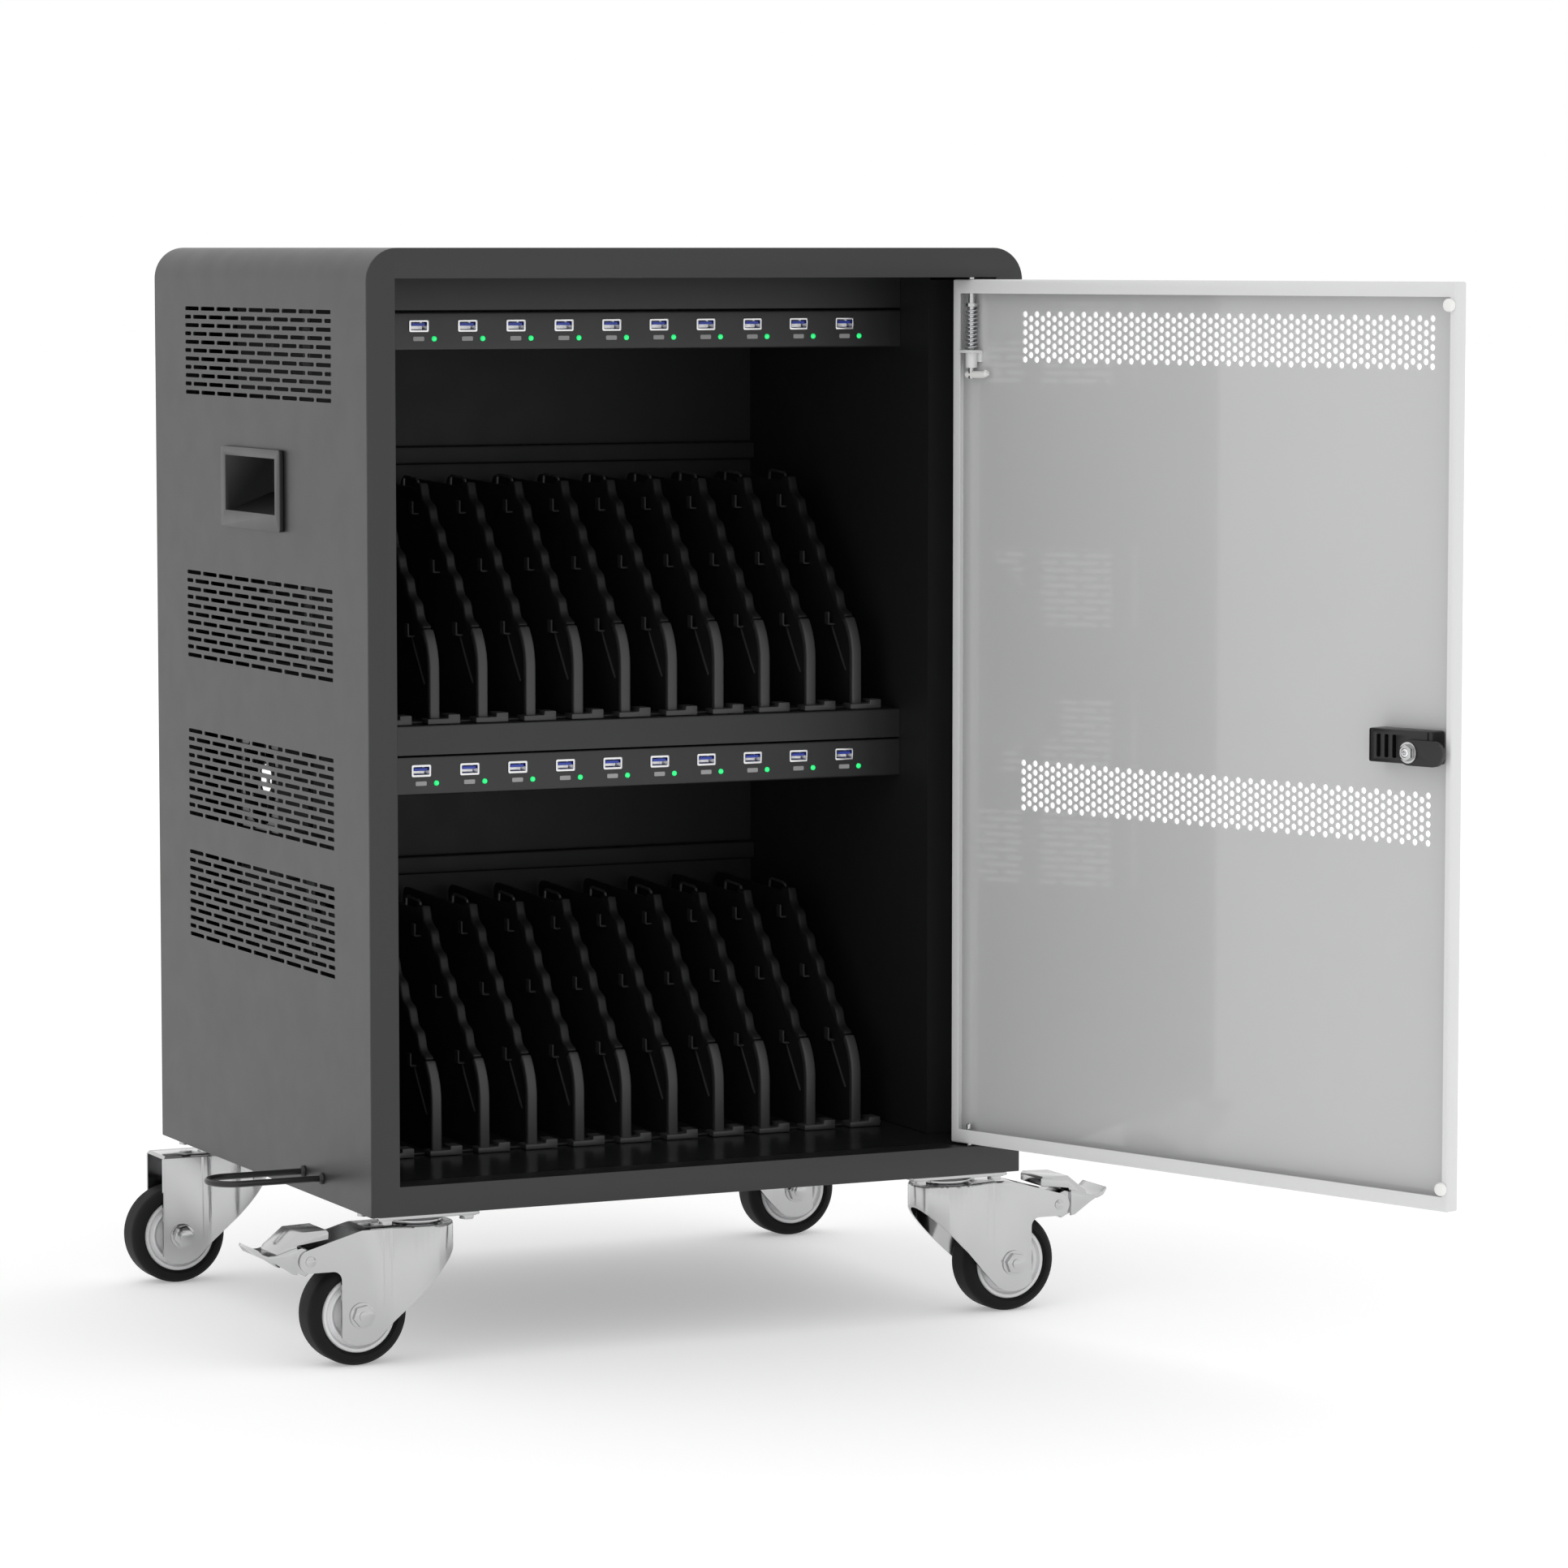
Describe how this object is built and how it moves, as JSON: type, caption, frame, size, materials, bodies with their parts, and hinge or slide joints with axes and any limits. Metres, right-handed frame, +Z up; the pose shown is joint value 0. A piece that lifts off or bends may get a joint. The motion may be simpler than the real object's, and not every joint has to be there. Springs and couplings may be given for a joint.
{
  "type": "laptop charging cart",
  "caption": "Sheet-steel charging cabinet on swivel casters with shelves of divided laptop bays, charging strips with sockets and a lockable ventilated door that stands open.",
  "frame": {"origin": "middle of the cabinet's underside, the flat face that the casters are bolted to", "axes": "+X to the right seen from the front, +Y from the front to the back, +Z up"},
  "size_m": [0.7691, 0.9319, 0.846],
  "materials": {
    "cabinet": "satin dark grey powder coat",
    "inside": "satin near-black powder coat",
    "door": "glossy pale grey powder coat",
    "black": "satin black",
    "zinc": "bright zinc plate",
    "chrome": "polished",
    "tyre": "smooth matt black",
    "hub": "satin grey",
    "bumper": "soft white",
    "board": "metal-framed sockets on a printed board"
  },
  "bodies": {
    "cabinet": {"left_side_panel": "cabinet", "right_side_panel": "cabinet", "top_cover": "cabinet", "front_frame": "cabinet", "back_panel": "cabinet", "base_pan": "cabinet", "floor_plate": "cabinet", "middle_shelf": "cabinet", "header_plate": "cabinet", "upper_strip": "cabinet", "lower_strip": "cabinet", "left_handle": "cabinet", "right_handle": "cabinet", "left_liner": "inside", "right_liner": "inside", "rear_partition": "inside", "upper_divider_rack": "black", "lower_divider_rack": "black", "side_loop": "black", "power_inlet": "black", "fan_frame": "black", "power_unit": "zinc", "caster_plate_front_left": "zinc", "caster_plate_front_right": "zinc", "caster_plate_rear_left": "zinc", "caster_plate_rear_right": "zinc", "upper_socket_board": "board", "lower_socket_board": "board"},
    "door": {"door_leaf": "door", "hinge_bracket": "door", "hinge_spring": "zinc", "lower_hinge_pin": "zinc", "lock_housing": "black", "upper_bumper": "bumper", "lower_bumper": "bumper"},
    "hinge_bolt": {"hinge_bolt": "zinc"},
    "lock": {"lock_plug": "chrome", "lock_cam": "black", "lock_nut": "chrome"},
    "fan": {"fan_rotor": "black"},
    "fork_front_left": {"caster_fork_front_left": "zinc"},
    "wheel_front_left": {"tyre_front_left": "tyre", "wheel_hub_front_left": "hub"},
    "fork_front_right": {"caster_fork_front_right": "zinc"},
    "wheel_front_right": {"tyre_front_right": "tyre", "wheel_hub_front_right": "hub"},
    "fork_rear_left": {"caster_fork_rear_left": "zinc"},
    "wheel_rear_left": {"tyre_rear_left": "tyre", "wheel_hub_rear_left": "hub"},
    "fork_rear_right": {"caster_fork_rear_right": "zinc"},
    "wheel_rear_right": {"tyre_rear_right": "tyre", "wheel_hub_rear_right": "hub"},
    "pedal_front_left": {"brake_pedal_front_left": "zinc"},
    "pedal_front_right": {"brake_pedal_front_right": "zinc"}
  },
  "joints": [
    {"name": "door_hinge", "type": "hinge", "parent": "cabinet", "child": "door", "pos_m": [0.234, -0.231, 0.365], "axis": [0, 0, 1], "range_deg": [-110, 12]},
    {"name": "bolt_slide", "type": "slide", "parent": "door", "child": "hinge_bolt", "axis": [0, 0, 1], "range_m": [-0.01, 0], "stiffness_N_per_m": 400, "springref_m": 0.004, "deforming": ["hinge_spring"]},
    {"name": "lock_turn", "type": "hinge", "parent": "door", "child": "lock", "pos_m": [0.38859, -0.65574, 0.362], "axis": [-0.9397, -0.342, 0], "range_deg": [0, 90]},
    {"name": "fan_spin", "type": "hinge", "parent": "cabinet", "child": "fan", "pos_m": [-0.26, 0.002, 0.314], "axis": [1, 0, 0], "continuous": true},
    {"name": "swivel_front_left", "type": "hinge", "parent": "cabinet", "child": "fork_front_left", "pos_m": [-0.226, -0.203, -0.01], "axis": [0, 0, 1], "continuous": true},
    {"name": "roll_front_left", "type": "hinge", "parent": "fork_front_left", "child": "wheel_front_left", "pos_m": [-0.278, -0.203, -0.076], "axis": [0, 1, 0], "continuous": true},
    {"name": "swivel_front_right", "type": "hinge", "parent": "cabinet", "child": "fork_front_right", "pos_m": [0.226, -0.203, -0.01], "axis": [0, 0, 1], "continuous": true},
    {"name": "roll_front_right", "type": "hinge", "parent": "fork_front_right", "child": "wheel_front_right", "pos_m": [0.278, -0.203, -0.076], "axis": [0, 1, 0], "continuous": true},
    {"name": "swivel_rear_left", "type": "hinge", "parent": "cabinet", "child": "fork_rear_left", "pos_m": [-0.226, 0.203, -0.01], "axis": [0, 0, 1], "continuous": true},
    {"name": "roll_rear_left", "type": "hinge", "parent": "fork_rear_left", "child": "wheel_rear_left", "pos_m": [-0.278, 0.203, -0.076], "axis": [0, 1, 0], "continuous": true},
    {"name": "swivel_rear_right", "type": "hinge", "parent": "cabinet", "child": "fork_rear_right", "pos_m": [0.226, 0.203, -0.01], "axis": [0, 0, 1], "continuous": true},
    {"name": "roll_rear_right", "type": "hinge", "parent": "fork_rear_right", "child": "wheel_rear_right", "pos_m": [0.278, 0.203, -0.076], "axis": [0, 1, 0], "continuous": true},
    {"name": "brake_front_left", "type": "hinge", "parent": "fork_front_left", "child": "pedal_front_left", "pos_m": [-0.319, -0.203, -0.032], "axis": [0, 1, 0], "range_deg": [-15, 0]},
    {"name": "brake_front_right", "type": "hinge", "parent": "fork_front_right", "child": "pedal_front_right", "pos_m": [0.319, -0.203, -0.032], "axis": [0, -1, 0], "range_deg": [-15, 0]}
  ]
}
